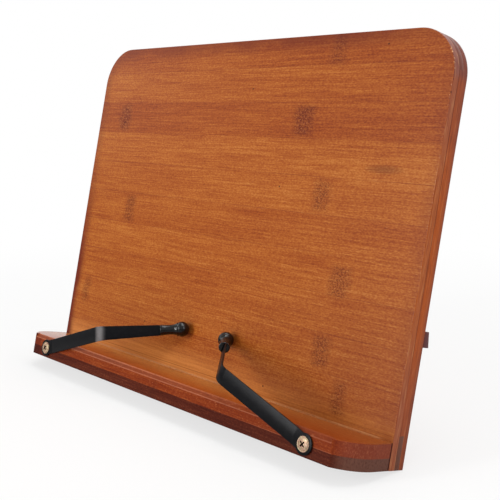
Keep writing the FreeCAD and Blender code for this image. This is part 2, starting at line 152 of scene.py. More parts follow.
class Paint:  # the nodes of a new material or world
    def __init__(self, owner):
        self.owner = owner
        owner.use_nodes = True
        self.tree = owner.node_tree
        self.tree.nodes.clear()

    def node(self, kind, settings=(), inputs=(), output=0):
        made = self.tree.nodes.new("ShaderNode" + kind)
        for setting, value in dict(settings).items():
            if setting == "stops":
                self.setStops(made.color_ramp, value)
            else:
                setattr(made, setting, value)
        for key, value in inputs.items() if isinstance(inputs, dict) else enumerate(inputs):
            socket = made.inputs[key]
            if isinstance(value, Term):
                self.tree.links.new(value.socket, socket)
            elif socket.type == "RGBA":
                socket.default_value = (*value[:3], 1.0)
            else:
                socket.default_value = value
        return Term(self, made.outputs[output]) if made.outputs else None

    def setStops(self, ramp, stops):
        while len(ramp.elements) < len(stops):
            ramp.elements.new(0.5)
        for element, (position, colour) in zip(ramp.elements, stops):
            element.position, element.color = position, (*colour, 1.0)

    def place(self):  # the object's own coordinates, in metres
        return self.node("TexCoord", output=3)

    def inMillimetres(self):
        return self.stretched(self.place(), (1 / mm,) * 3)

    def onBoard(self, folded=0.0):  # millimetres right, back and up the board, or up the leg
        turn, shift = lean - folded, boardShift / mm
        return self.node("Mapping", {}, {
            "Vector": self.place(),
            "Scale": (1 / mm,) * 3,
            "Rotation": (turn, 0, 0),
            "Location": (0, shift * math.cos(turn), shift * math.sin(turn))})

    def split(self, vector):
        made = self.tree.nodes.new("ShaderNodeSeparateXYZ")
        self.tree.links.new(vector.socket, made.inputs[0])
        return [Term(self, socket) for socket in made.outputs]

    def join(self, x, y, z):
        return self.node("CombineXYZ", {}, (x, y, z))

    def stretched(self, vector, factors):
        return self.node("VectorMath", {"operation": "MULTIPLY"}, (vector, factors))

    def noise(self, vector, scale=1.0, detail=2.0, roughness=0.5, distortion=0.0):
        return self.node("TexNoise", {}, {"Vector": vector, "Scale": scale, "Detail": detail,
                                          "Roughness": roughness, "Distortion": distortion})

    def chance(self, term):  # a fixed random number for each whole number
        return self.node("TexWhiteNoise", {"noise_dimensions": "1D"}, {"W": term})

    def blend(self, factor, first, second):
        return self.node("Mix", {"data_type": "RGBA", "clamp_factor": True},
                         {0: factor, 6: first, 7: second}, output=2)

    def ramp(self, term, stops):
        return self.node("ValToRGB", {"stops": stops}, (term,))

    def relief(self, height, depth, strength):  # bumps of a depth in millimetres
        return self.node("Bump", {}, {"Height": height, "Distance": depth * mm, "Strength": strength})

    def finish(self, **sockets):
        spaced = {"baseColor": "Base Color", "roughness": "Roughness", "metallic": "Metallic",
                  "specular": "Specular IOR Level", "coat": "Coat Weight", "coatRoughness": "Coat Roughness",
                  "normal": "Normal"}
        shader = self.node("BsdfPrincipled", {}, {spaced[key]: value for key, value in sockets.items()})
        self.node("OutputMaterial", {}, {"Surface": shader})
        return self.owner


def tone(red, green, blue):  # a colour as a screen shows it, made linear
    return tuple(v / 12.92 if v <= 0.04045 else ((v + 0.055) / 1.055) ** 2.4
                 for v in (red / 255, green / 255, blue / 255))


# ---- bamboo ----

grainSizes = {  # length, width and detail of each size of streak, in millimetres
    "cloud": (150, 20, 1.0),
    "band": (110, 2.6, 3.0),
    "fibre": (60, 1.2, 1.0),
    "hair": (26, 0.7, 1.0),
}
grainShares = {"cloud": 0.24, "band": 0.15, "fibre": 0.2, "hair": 0.42}
pores = {"size": (1.6, 0.8, 0.8), "share": 0.55}
ripple = {"spread": (0.02, 0.03, 0.05), "height": 2.2}
grainShift = 700.0  # millimetres, so that neighbouring strips differ
toneSteps = (0.12, 0.4, 0.62, 0.92)  # depths at which a look's four colours are pure
lowestStrip = -2  # counted from stripFrom

panelLook = {
    "grain": "x", "stripWidth": board["stripHeight"], "stripFrom": board["stripFrom"],
    "colours": (tone(112, 40, 16), tone(150, 70, 22), tone(176, 98, 36), tone(204, 136, 68)),
    "stain": tone(112, 40, 20), "stainWidth": 13.0, "stainStrength": 0.62,  # deeper towards the rim
    "smear": tone(96, 28, 20), "knuckle": tone(84, 22, 10), "fleck": tone(234, 178, 120),
    # cornerSide is a painted sheen high up the sides, and their grey tone low down
    # foot is painted light on the panel just above the ledge
    "side": tone(176, 88, 34), "cornerSide": tone(136, 82, 72), "foot": tone(220, 146, 76),
    "seam": 0.5, "flecks": 0.16,
    "stripTones": (0.60, 0.58, 0.58, 0.54, 0.58, 0.54, 0.58, 0.60, 0.38, 0.49, 0.40),  # from the bottom up
    "knuckles": (  # right, up, half width, strength
        (126, 30, 7, 0.9), (107, 54, 9, 1.0), (-151, 54, 6, 0.9), (113, 97, 10, 1.0), (-110, 123, 8, 1.1),
        (87, 147, 9, 1.0), (61, 193, 11, 1.3), (-135, 193, 9, 1.4), (82, 238, 9, 0.8)),
    "pinholes": ((-68.6, 42.2), (120.6, 239.1), (63.6, 23.4), (8.8, 213.9), (49.0, 150.0)),
    "smudge": {"right": 132.5, "up": 165.2, "halfWidth": 16.0, "halfHeight": 3.2, "cover": 0.5},
    "specular": 0.12, "coat": 0.25,
}

frameLook = {
    "grain": "z", "stripWidth": 6.5, "stripFrom": 0.0,
    "colours": (tone(120, 44, 16), tone(160, 72, 26), tone(188, 98, 40), tone(214, 132, 70)),
    "stain": tone(104, 50, 36), "stainWidth": 2.5, "stainStrength": 0.35,
    "knuckle": tone(66, 22, 12), "fleck": tone(214, 140, 92),
    # cornerSide is a painted sheen high up the sides, and their grey tone low down
    "side": tone(180, 86, 32), "cornerSide": tone(122, 70, 62),
    "seam": 0.35, "flecks": 0.3, "knuckleSpacing": 210.0, "specular": 0.1, "coat": 0.22,
}

railLook = dict(frameLook, grain="x", tongue=tone(88, 64, 56))
battenLook = dict(railLook, tongue=tone(70, 50, 62))
legLook = dict(frameLook, turned=True)

ledgeUpperLook = {
    "grain": "ledge", "stripWidth": 11.5, "stripFrom": board["panelFront"],
    "colours": (tone(98, 30, 8), tone(136, 52, 14), tone(156, 70, 24), tone(190, 110, 56)),
    # topColours are painted lighter than the wood's: painted light in the shade where the ledge meets the panel
    "topColours": (tone(166, 90, 36), tone(194, 120, 56), tone(210, 142, 72), tone(224, 160, 94)),
    "topFront": tone(166, 66, 6), "chamfer": tone(138, 66, 36), "chamferLip": tone(196, 124, 92),
    "joint": tone(206, 146, 96), "end": tone(136, 66, 48),
    "stain": tone(110, 42, 22), "stainWidth": 4.0, "stainStrength": 0.4,
    "knuckle": tone(84, 26, 14), "fleck": tone(226, 150, 98), "seam": 0.3, "flecks": 0.3, "scuffs": 0.2,
    "contrast": 1.6, "knuckleSpacing": 260.0, "specular": 0.05, "coat": 0.05,
}

ledgeLowerLook = dict(
    ledgeUpperLook, topColours=None, scuffs=0.0, end=tone(112, 76, 64), fleck=tone(150, 96, 78),
    stain=tone(70, 26, 18), knuckle=tone(50, 18, 12),
    colours=(tone(56, 18, 10), tone(84, 32, 18), tone(106, 48, 28), tone(146, 80, 50)))


class Bamboo:  # a lacquered bamboo finish, built up layer by layer
    def __init__(self, name, look):
        self.look = look
        self.paint = Paint(bpy.data.materials.new(name))
        self.place = self.paint.onBoard(legFold if look.get("turned") else 0.0)
        self.x, self.y, self.z = self.paint.split(self.place)
        self.along, self.across, self.deep = {
            "x": (self.x, self.z, self.y),
            "z": (self.z, self.x, self.y),
            "ledge": (self.x, self.y, self.z),
        }[look["grain"]]
        self.strip = ((self.across - look["stripFrom"]) / look["stripWidth"]).floor()
        self.luck = self.paint.chance(self.strip)
        drift = (self.paint.noise(self.spread(*ripple["spread"])) - 0.5) * ripple["height"]
        self.grain = self.paint.join(self.along + self.luck * grainShift, self.across + drift, self.deep)
        self.streaks = {name: self.streak(*sizes) for name, sizes in grainSizes.items()}
        self.rim = self.rimDistance()
        self.colour = None
        self.coat = look["coat"]

    def spread(self, along, across, deep):  # places along, across and into the grain, each times a factor
        return self.paint.join(self.along * along, self.across * across, self.deep * deep)

    def streak(self, length, width, detail):
        sizes = (1 / length, 1 / width, 1 / width)
        return self.paint.noise(self.paint.stretched(self.grain, sizes), detail=detail) - 0.5

    def specks(self, *sizes, detail=2.0):  # small marks of a length across, back and up, in millimetres
        return self.paint.noise(self.paint.stretched(self.place, [1 / size for size in sizes]), detail=detail)

    def cover(self, colour, amount):
        self.colour = self.paint.blend(amount, self.colour, colour)

    def rimDistance(self):  # millimetres in from the outline
        if self.look["grain"] == "ledge":
            return (self.y - board["ledgeFront"]).atMost(board["halfWidth"] - abs(self.x))
        radius = board["cornerRadius"]
        right = abs(self.x) - (board["halfWidth"] - radius)
        up = self.z - (board["height"] - radius)
        corner = (right.atLeast(0.0) ** 2.0 + up.atLeast(0.0) ** 2.0) ** 0.5
        return radius - corner - right.atLeast(up).atMost(0.0)


# In the dictionaries below, a pair says where a change begins and ends: in millimetres on the
# board, or as two values of a noise. Single values are shares.

topMask = {"up": (-0.5, -0.05), "inward": (0.5, 1.2)}
# a lighter foot on the panel above the ledge, less at the right: painted light in the corner's shade
litFootPaint = {"top": 36.0, "right": (-40.0, 120.0), "rightLoss": 0.6, "cover": 0.8, "streaky": 0.5}
stripLuck = 0.7


def shifted(start, pair):  # a pair counted from a place on the board
    return [start + value for value in pair]


def stripLift(wood):  # how far a strip is lighter or darker than the rest
    paint, look = wood.paint, wood.look
    if "stripTones" not in look:
        return (wood.luck - 0.5) * stripLuck
    count = len(look["stripTones"])
    greys = [((n + 0.5) / count, (grey, grey, grey)) for n, grey in enumerate(look["stripTones"])]
    return paint.node("RGBToBW", {}, (paint.ramp((wood.strip - lowestStrip + 0.5) / count, greys),)) - 0.5


def layGrain(wood):  # long streaks, with a tone for each strip
    paint, look, streaks = wood.paint, wood.look, wood.streaks
    porous = wood.specks(*pores["size"], detail=1.0) - 0.5
    streaky = sum((streaks[name] * share for name, share in grainShares.items()), porous * pores["share"])
    depth = 0.5 + stripLift(wood) * 0.5 + streaky * look.get("contrast", 1.0)
    wood.colour = paint.ramp(depth, list(zip(toneSteps, look["colours"])))
    # the page face takes the lighter colours: painted light in the corner's shade
    if look.get("topColours"):
        upper = wood.z.step(*shifted(board["ledgeTop"], topMask["up"]))
        wood.pageFace = upper * (wood.y - board["ledgeFront"]).step(*topMask["inward"])
        wood.cover(paint.ramp(depth, list(zip(toneSteps, look["topColours"]))), wood.pageFace)
    # painted light: the panel's foot above the ledge is lighter, less so at the right
    if "foot" in look:
        low = wood.z.fade(board["ledgeTop"], litFootPaint["top"])
        low = low * (1.0 - wood.x.step(*litFootPaint["right"]) * litFootPaint["rightLoss"])
        fine = (streaks["band"] + streaks["fibre"] + streaks["hair"]) * litFootPaint["streaky"]
        wood.cover(look["foot"], low * (litFootPaint["cover"] + fine))


stainPlaces = {
    "patches": 0.035, "raggedness": 0.9,
    "right": (120.0, 152.0), "rightLoss": 0.6,
    "left": (145.0, 152.0), "leftGain": 0.8, "leftUp": (30.0, 150.0), "leftLoss": 0.94,
    "corner": (80.0, 140.0), "cornerUp": (50.0, 125.0), "cornerGain": 0.18,
    "topUp": (-13.0, -1.0), "topRaggedness": 14.0,
    "smears": 0.022, "smeared": (0.42, 0.62), "smearGain": 0.35,
}


def gatherStain(wood):  # darker towards the rim, in patches
    look, paint, places = wood.look, wood.paint, stainPlaces
    patchy = paint.noise(wood.place, scale=places["patches"]) - 0.5
    ragged = wood.rim + patchy * look["stainWidth"] * places["raggedness"]
    kept = 1.0 - wood.x.step(*places["right"]) * places["rightLoss"]
    gathered = ragged.fade(0.0, look["stainWidth"]) * kept
    leftGain = places["leftGain"] - wood.z.step(*places["leftUp"]) * places["leftLoss"]
    wood.cover(look["stain"], gathered * (look["stainStrength"] + (-wood.x).step(*places["left"]) * leftGain))
    if "stripTones" in look:
        corner = wood.x.step(*places["corner"]) * wood.z.fade(*places["cornerUp"])
        wood.cover(look["stain"], corner * places["cornerGain"])
        top = (wood.z + patchy * places["topRaggedness"]).step(*shifted(board["height"], places["topUp"]))
        smears = paint.noise(wood.place, scale=places["smears"], detail=1.0).step(*places["smeared"])
        wood.cover(look["smear"], top * smears * places["smearGain"])


ringMarks = {
    "wander": 9.0, "wanderSpread": (0.05, 0.16, 1.0),
    "wave": 3.0, "waveSpread": (0.45, 0.2, 0.3),
    "ends": (0.6, 1.04), "endWander": 0.04,
    "halfWidth": 5.0, "strength": 0.7, "seed": 31.7, "shift": 3.0,  # where a look doesn't place them
    "speckSize": (1.1, 0.8, 0.8), "ground": 0.17,
    "dark": (0.48, 0.6), "darkCover": 0.54, "pale": (0.32, 0.42), "paleCover": 0.12, "deep": (0.5, 0.66),
}


def placedMarks(wood, wander):  # the strongest of the marks that a look places
    marks = []
    for right, up, halfWidth, strength in wood.look["knuckles"]:
        sideways = (wood.along - right + wander) / halfWidth
        upwards = abs((wood.across - up) / (0.5 * wood.look["stripWidth"])) + wander * ringMarks["endWander"]
        marks.append((1.0 - sideways * sideways).atLeast(0.0) * upwards.fade(*ringMarks["ends"]) * strength)
    strongest = marks[0]
    for mark in marks[1:]:
        strongest = strongest.atLeast(mark)
    return strongest


def spacedMarks(wood, wander):  # one mark to each spacing, shifted from strip to strip
    spacing = wood.look["knuckleSpacing"]
    shift = wood.paint.chance(wood.strip + ringMarks["seed"]) * ringMarks["shift"]
    sideways = ((wood.along / spacing + shift).part() - 0.5) * spacing + wander
    return (1.0 - (sideways / ringMarks["halfWidth"]) ** 2).atLeast(0.0) * ringMarks["strength"]


def markKnuckles(wood):  # the ring marks of the cane: columns of short dark and pale specks
    look, paint = wood.look, wood.paint
    wander = (paint.noise(wood.spread(*ringMarks["wanderSpread"])) - 0.5) * ringMarks["wander"]
    marks = placedMarks(wood, wander) if "knuckles" in look else spacedMarks(wood, wander)
    wave = (paint.noise(wood.spread(*ringMarks["waveSpread"]), detail=1.0) - 0.5) * ringMarks["wave"]
    waved = paint.join(wood.along, wood.across + wave, wood.deep)
    sizes = [1 / size for size in ringMarks["speckSize"]]
    specks = paint.noise(paint.stretched(waved, sizes), detail=2.0, roughness=0.6)
    dark = specks.step(*ringMarks["dark"]) * ringMarks["darkCover"]
    wood.cover(look["knuckle"], marks * (ringMarks["ground"] + dark))
    wood.cover(look["fleck"], marks * specks.fade(*ringMarks["pale"]) * ringMarks["paleCover"])
    wood.marks = marks * specks.step(*ringMarks["deep"])


seamLines = {"breakLength": 0.012, "breakShift": 3.3, "breaks": (0.35, 0.6), "halfWidth": (0.05, 0.4)}


def drawSeams(wood):  # glue lines between strips
    look, paint = wood.look, wood.paint
    width = look["stripWidth"]
    edge = abs(((wood.across - look["stripFrom"]) / width + 0.5).part() - 0.5) * width
    runs = paint.join(wood.along * seamLines["breakLength"], wood.strip * seamLines["breakShift"], 0.0)
    broken = paint.noise(runs, detail=1.0).step(*seamLines["breaks"])
    wood.seams = edge.fade(*seamLines["halfWidth"]) * broken
    wood.cover(look["stain"], wood.seams * look["seam"])


ticks = {"size": (5.0, 0.5, 0.5), "shift": 90.0, "pale": (0.7, 0.78), "dark": (0.2, 0.29)}
pinhole = {"colour": tone(40, 18, 14), "radius": (0.35, 0.8), "cover": 0.85}


def scatterFlecks(wood):  # pale flecks, pores and pinholes in the lacquer
    look, paint = wood.look, wood.paint
    straight = paint.join(wood.along + wood.luck * ticks["shift"], wood.across, wood.deep)
    marks = paint.noise(paint.stretched(straight, [1 / size for size in ticks["size"]]), detail=1.0)
    wood.cover(look["fleck"], marks.step(*ticks["pale"]) * look["flecks"])
    wood.cover(look["knuckle"], marks.fade(*ticks["dark"]) * look["flecks"])
    for right, up in look.get("pinholes", ()):
        away = ((wood.x - right) ** 2.0 + (wood.z - up) ** 2.0) ** 0.5
        wood.cover(pinhole["colour"], away.fade(*pinhole["radius"]) * pinhole["cover"])
    if "smudge" in look:
        smudge = look["smudge"]
        sideways = (wood.x - smudge["right"]) / smudge["halfWidth"]
        upwards = (wood.z - smudge["up"]) / smudge["halfHeight"]
        near = (1.0 - sideways ** 2.0 - upwards ** 2.0).atLeast(0.0)
        wood.cover(look["knuckle"], near * smudge["cover"])


paleJoint = {"size": (9.0, 1.0, 1.0), "patches": (0.35, 0.6), "ground": 0.6, "patchy": 0.4,
             "ends": (157.0, 164.0), "right": (-20.0, 150.0), "rightLoss": 0.2}


def jointShare(wood):  # how much of the pale line shows where the ledge meets the panel
    patchy = wood.specks(*paleJoint["size"]).step(*paleJoint["patches"]) * paleJoint["patchy"]
    shown = paleJoint["ground"] + patchy - wood.x.step(*paleJoint["right"]) * paleJoint["rightLoss"]
    return abs(wood.x).fade(*paleJoint["ends"]) * shown


cutSides = {
    "inward": (0.08, 0.3), "cover": 0.75, "coatLoss": 0.8,
    # higher up, a painted sheen on the sides near the rounded corners; low down, their own grey tone
    "sheenAndGrey": {(140.0, 215.0): 0.4, (216.0, 222.5): 0.45},  # up the side, and how much
    "low": (10.0, 100.0), "lowGain": 0.45,
    "rubSize": (2.0, 1.1, 15.0),
    "pale": (0.04, 0.2), "paleCover": 0.2, "dark": (-0.18, -0.02), "darkCover": 0.45,
    "glue": tone(96, 34, 12), "glueHalfWidth": (0.1, 0.45), "glueUp": (30.0, 90.0), "glueCover": 0.7,
    "rear": tone(110, 50, 36), "rearBack": (-4.5, -0.5), "rearCover": 0.5,
}
bareTongue = {"ground": 0.7, "rubbed": 0.7, "up": (200.0, 222.0), "upLoss": 0.45, "out": (144.0, 152.0)}


def finishSides(wood):  # the cut sides and the glue line behind the panel
    look, sides = wood.look, cutSides
    side = wood.rim.fade(*sides["inward"])
    rubbed = wood.specks(*sides["rubSize"]) - 0.5
    wood.cover(look["side"], side * sides["cover"])
    # the sides are greyed higher up as a painted sheen, and low down as their own tone
    sheenAndGrey = sum((wood.z.step(*up) * gain for up, gain in sides["sheenAndGrey"].items()),
                 wood.z.fade(*sides["low"]) * sides["lowGain"])
    wood.cover(look["cornerSide"], side * sheenAndGrey)
    wood.cover(look["fleck"], side * rubbed.step(*sides["pale"]) * sides["paleCover"])
    wood.cover(look["stain"], side * rubbed.fade(*sides["dark"]) * sides["darkCover"])
    glue = abs(wood.y - board["panelBack"]).fade(*sides["glueHalfWidth"])
    wood.cover(sides["glue"], side * glue * wood.z.step(*sides["glueUp"]) * sides["glueCover"])
    wood.cover(sides["rear"], side * wood.y.step(*sides["rearBack"]) * sides["rearCover"])
    wood.coat = look["coat"] * (1.0 - side * sides["coatLoss"])
    if "stripTones" in look:
        finishPanelEdge(wood)
    if "tongue" in look:
        bare = bareTongue["ground"] + rubbed * bareTongue["rubbed"]
        bare = bare - wood.z.step(*bareTongue["up"]) * bareTongue["upLoss"]
        wood.cover(look["tongue"], side * abs(wood.x).step(*bareTongue["out"]) * bare)


arrisChips = {
    "jointUp": (0.7, 1.0),
    "inward": (0.5, 0.9), "right": (150.0, 158.0), "from": (196.0, 212.0), "to": (232.0, 238.0),
    "size": (1.4, 1.4, 1.9),
    "pale": tone(240, 186, 124), "paleChips": (0.6, 0.68), "paleCover": 0.8,
    # the dark specks beside the pale chips are their painted shadows
    "dark": tone(70, 24, 16), "chipShadows": (0.3, 0.38), "darkCover": 0.7,
}


def finishPanelEdge(wood):  # the pale line at the ledge and the chipped arris at the right
    edge = arrisChips
    foot = wood.z.fade(*shifted(board["ledgeTop"], edge["jointUp"]))
    wood.cover(ledgeUpperLook["joint"], foot * jointShare(wood))
    arris = wood.rim.fade(*edge["inward"]) * wood.y.fade(*shifted(board["panelFront"], edge["inward"]))
    chipped = wood.x.step(*edge["right"]) * arris * wood.z.step(*edge["from"]) * wood.z.fade(*edge["to"])
    chips = wood.specks(*edge["size"], detail=1.0)
    wood.cover(edge["pale"], chipped * chips.step(*edge["paleChips"]) * edge["paleCover"])
    # painted shadows beside the chips
    wood.cover(edge["dark"], chipped * chips.fade(*edge["chipShadows"]) * edge["darkCover"])


pageFaceShade = {
    # frontRight and frontKeep spread the darker front colour over the right end: painted shade
    "front": (0.0, 32.0), "frontRight": (20.0, 150.0), "frontKeep": 0.5, "frontCover": 0.85,
    "joint": (-1.8, -1.2), "gloss": (-156.0, -112.0), "glossGain": 0.6,
}


def shadePageFace(wood, inward):  # warmer at its front, darker towards its right end as painted shade, pale at its joint with the panel
    look, shade = wood.look, pageFaceShade
    behind = inward.step(*shade["front"]) * (1.0 - wood.x.step(*shade["frontRight"]) * shade["frontKeep"])
    wood.cover(look["topFront"], wood.pageFace * (1.0 - behind) * shade["frontCover"])
    back = wood.pageFace * inward.step(*shifted(board["ledgeDepth"], shade["joint"]))
    wood.cover(look["joint"], back * jointShare(wood))
    wood.coat = look["coat"] + wood.pageFace * wood.x.fade(*shade["gloss"]) * shade["glossGain"]


chamferShade = {
    "ends": (-0.4, 0.2), "lower": (-0.1, 0.15), "upper": (-0.1, 0.2), "cover": 0.7,
    "crestHighlight": (0.25, 0.7), "crestUp": (1.0, 1.5), "crestRight": (-60.0, 140.0), "crestLoss": 0.8,
    "crestCover": 0.6,
    "lip": (0.15, 0.45), "lipInward": (0.1, 0.4), "lipCover": 0.5,
    "foot": (0.2, 0.6), "footInward": (0.1, 0.5), "footRight": (60.0, 130.0), "footCover": 0.4,
}


def shadeChamfer(wood, inward):  # the chamfer, a painted highlight along its upper arris, and pale lines at its lower edge and at the layers' joint
    look, shade = wood.look, chamferShade
    below = board["ledgeTop"] - board["chamferDrop"]
    depth = board["chamferDepth"]
    within = abs(wood.x).fade(*shifted(board["halfWidth"] - board["chamferStop"], shade["ends"]))
    sloped = wood.z.step(*shifted(below, shade["lower"])) * inward.fade(*shifted(depth, shade["upper"]))
    wood.cover(look["chamfer"], sloped * within * shade["cover"])
    # a painted highlight along the chamfer's upper arris, fading towards the right
    crestHighlight = abs(inward - depth).fade(*shade["crestHighlight"])
    crestHighlight = crestHighlight * (1.0 - wood.x.step(*shade["crestRight"]) * shade["crestLoss"])
    crestHighlight = crestHighlight * wood.z.step(*shifted(below, shade["crestUp"]))
    wood.cover(look["chamferLip"], crestHighlight * within * shade["crestCover"])
    lip = abs(wood.z - below).fade(*shade["lip"]) * inward.fade(*shade["lipInward"])
    wood.cover(look["chamferLip"], lip * within * shade["lipCover"])
    foot = abs(wood.z - board["ledgeJoint"]).fade(*shade["foot"]) * inward.fade(*shade["footInward"])
    wood.cover(look["chamferLip"], foot * wood.x.step(*shade["footRight"]) * shade["footCover"])


ledgeWearAndShade = {
    "right": (30.0, 150.0), "rightShade": 0.42,
    "scuffSize": (2.6, 1.0, 0.9), "pale": (0.6, 0.72), "dark": (0.3, 0.42), "darkCover": 0.3,
    "end": (-1.0, 9.0), "endCover": 0.8, "leftEndShade": 0.2,
    "scratchSize": (0.7, 0.7, 1.5), "scratched": (0.04, 0.24), "scratchCover": 0.14,
    "grimy": (-0.22, -0.02), "grimeCover": 0.5,
    # shut: a painted shadow line in the joint of the ledge's ends with the panel
    "shutShadow": tone(60, 16, 8), "shutOut": (-1.0, -0.5), "shutBack": (-1.5, -0.7), "shutCover": 0.9,
}


def wearAndShadeLedge(wood, inward):  # scuffs, the sawn ends, painted shade at the right and on the left end, and a painted shadow line where they meet the panel
    look, wear = wood.look, ledgeWearAndShade
    # painted shade: darker towards the right end
    wood.cover(look["stain"], wood.x.step(*wear["right"]) * wear["rightShade"])
    scuffs = wood.specks(*wear["scuffSize"])
    wood.cover(look["fleck"], scuffs.step(*wear["pale"]) * look["scuffs"])
    wood.cover(look["knuckle"], scuffs.fade(*wear["dark"]) * wear["darkCover"])
    end = abs(wood.x).step(*shifted(board["ledgeCrease"], wear["end"]))
    if look["topColours"]:
        end = end * (1.0 - wood.pageFace)
    scratches = wood.specks(*wear["scratchSize"]) - 0.5
    wood.cover(look["end"], end * wear["endCover"])
    wood.cover(look["fleck"], end * scratches.step(*wear["scratched"]) * wear["scratchCover"])
    # painted shade: the ledge's left end is darker
    darkTone = scratches.fade(*wear["grimy"]) * wear["grimeCover"] + (-wood.x).step(0.0, 1.0) * wear["leftEndShade"]
    wood.cover(look["stain"], end * darkTone)
    # a painted shadow in the narrow joint between the ledge's ends and the panel
    shutShadow = abs(wood.x).step(*shifted(board["halfWidth"], wear["shutOut"]))
    shutShadow = shutShadow * inward.step(*shifted(board["ledgeDepth"], wear["shutBack"]))
    wood.cover(wear["shutShadow"], shutShadow * wear["shutCover"])


def shadeLedge(wood):
    inward = wood.y - board["ledgeFront"]
    if wood.look["topColours"]:
        shadePageFace(wood, inward)
        shadeChamfer(wood, inward)
    wearAndShadeLedge(wood, inward)


lacquer = {"roughness": 0.34, "streaky": 0.15, "marked": 0.08, "coatRoughness": 0.14}
woodRelief = {"fibre": 0.5, "hair": 0.6, "marks": 0.35, "seams": 0.6, "depth": 0.06, "strength": 0.5}


def bambooFinish(name, look):
    wood = Bamboo(name, look)
    layers = [layGrain, gatherStain, markKnuckles, drawSeams, scatterFlecks,
              shadeLedge if look["grain"] == "ledge" else finishSides]
    for layer in layers:
        layer(wood)
    streaks = wood.streaks
    relief = (streaks["fibre"] * woodRelief["fibre"] + streaks["hair"] * woodRelief["hair"]
              - wood.marks * woodRelief["marks"] - wood.seams * woodRelief["seams"])
    rough = streaks["band"] * lacquer["streaky"] + wood.marks * lacquer["marked"]
    return wood.paint.finish(
        baseColor=wood.colour,
        roughness=lacquer["roughness"] + rough,
        specular=look["specular"],
        coat=wood.coat,
        coatRoughness=lacquer["coatRoughness"],
        normal=wood.paint.relief(relief, woodRelief["depth"], woodRelief["strength"]))


# ---- metals and rubber ----
# A noise is given by its scale to the millimetre, and a relief by its depth and strength.

blackPaint = {
    "colour": tone(15, 15, 18), "rubbed": tone(58, 57, 58), "mottle": 0.35,
    "scratches": (0.12, 2.4, 2.4), "scratched": (0.72, 0.8), "cover": 0.3,
    # a painted highlight across the left clip's bend
    "bendHighlight": tone(112, 108, 108), "bendHighlightShare": (0.7, 0.5),  # evenly, and with the mottle
    "bend": 82.5, "bendHighlightReach": 5.5,  # millimetres from the left clip's screw, and either way
    "roughness": 0.32, "roughnessSpread": 0.12, "specular": 0.11, "orangePeel": 2.2, "relief": (0.01, 0.5),
}

rubber = {
    "colours": (tone(8, 8, 9), tone(22, 22, 24)),
    "mottle": 0.25, "detail": 2.0, "mottled": (0.5, 0.8), "cover": 0.5,
    "roughness": 0.2, "roughnessSpread": 0.12, "metallic": 0.0, "relief": (0.04, 0.4),
}

brass = {
    "colours": (tone(206, 172, 96), tone(146, 104, 52)),
    "mottle": 0.3, "detail": 3.0, "mottled": (0.4, 0.7), "cover": 0.6, "brushed": (0.15, 5.0, 5.0),
    "roughness": 0.28, "roughnessSpread": 0.3, "metallic": 0.95, "relief": (0.01, 0.5),
}

yellowZinc = {
    "tints": ((0.34, tone(146, 148, 108)), (0.45, tone(194, 172, 132)),
              (0.54, tone(190, 142, 126)), (0.66, tone(166, 152, 118))),
    "drift": 0.4, "twist": 1.2, "grain": 1.1,
    "dull": tone(122, 84, 56), "dulled": (0.54, 0.66), "dullCover": 0.75,
    "bright": tone(236, 220, 184), "brightened": (0.32, 0.44), "brightCover": 0.55,
    "roughness": 0.36, "roughnessSpread": 0.12, "metallic": 0.4, "relief": (0.03, 0.5),
}

darkTone = {
    "colours": (tone(40, 18, 10), tone(92, 48, 28)), "grit": 1.4,
    "roughness": 0.6, "roughnessSpread": 0.3, "metallic": 0.2,
}


def paintedBendHighlight(paint):  # 1 where the left clip's bend takes a painted highlight
    x, y, z = paint.split(paint.onBoard())
    low, high = boardBox("left_clip_screw")
    away = ((x - (low.x + high.x) / 2) ** 2.0 + (z - (low.z + high.z) / 2) ** 2.0) ** 0.5
    near = (1.0 - ((away - blackPaint["bend"]) / blackPaint["bendHighlightReach"]) ** 2.0).atLeast(0.0)
    return near * near * x.fade(-1.0, 0.0)


def roughnessOf(look, texture):
    return look["roughness"] + (texture - 0.5) * look["roughnessSpread"]


def blackPaintFinish(name, withBendHighlight=False):
    look, paint = blackPaint, Paint(bpy.data.materials.new(name))
    place = paint.inMillimetres()
    mottle = paint.noise(place, scale=look["mottle"], detail=3.0)
    orangePeel = paint.noise(place, scale=look["orangePeel"])
    scratch = paint.noise(paint.stretched(place, look["scratches"])).step(*look["scratched"])
    colour = paint.blend((scratch + mottle - 0.5) * look["cover"], look["colour"], look["rubbed"])
    # a painted highlight across the left clip's bend
    if withBendHighlight:
        even, mottled = look["bendHighlightShare"]
        colour = paint.blend(paintedBendHighlight(paint) * (even + mottle * mottled), colour, look["bendHighlight"])
    return paint.finish(baseColor=colour, specular=look["specular"], roughness=roughnessOf(look, mottle),
                        normal=paint.relief(orangePeel, *look["relief"]))


def mottledFinish(name, look):  # for rubber and brass, which has brush marks too
    paint = Paint(bpy.data.materials.new(name))
    place = paint.inMillimetres()
    mottle = fine = paint.noise(place, scale=look["mottle"], detail=look["detail"])
    if "brushed" in look:
        fine = paint.noise(paint.stretched(place, look["brushed"]))
    colour = paint.blend(mottle.step(*look["mottled"]) * look["cover"], *look["colours"])
    return paint.finish(baseColor=colour, metallic=look["metallic"], roughness=roughnessOf(look, fine),
                        normal=paint.relief(fine, *look["relief"]))


def passivatedFinish(name):  # yellow zinc with faint green and pink tints
    look, paint = yellowZinc, Paint(bpy.data.materials.new(name))
    place = paint.inMillimetres()
    drift = paint.noise(place, scale=look["drift"], detail=2.0, distortion=look["twist"])
    grain = paint.noise(place, scale=look["grain"], detail=3.0)
    colour = paint.ramp(drift, look["tints"])
    colour = paint.blend(grain.step(*look["dulled"]) * look["dullCover"], colour, look["dull"])
    colour = paint.blend(grain.fade(*look["brightened"]) * look["brightCover"], colour, look["bright"])
    return paint.finish(baseColor=colour, metallic=look["metallic"],
                        roughness=look["roughness"] + drift * look["roughnessSpread"],
                        normal=paint.relief(grain, *look["relief"]))


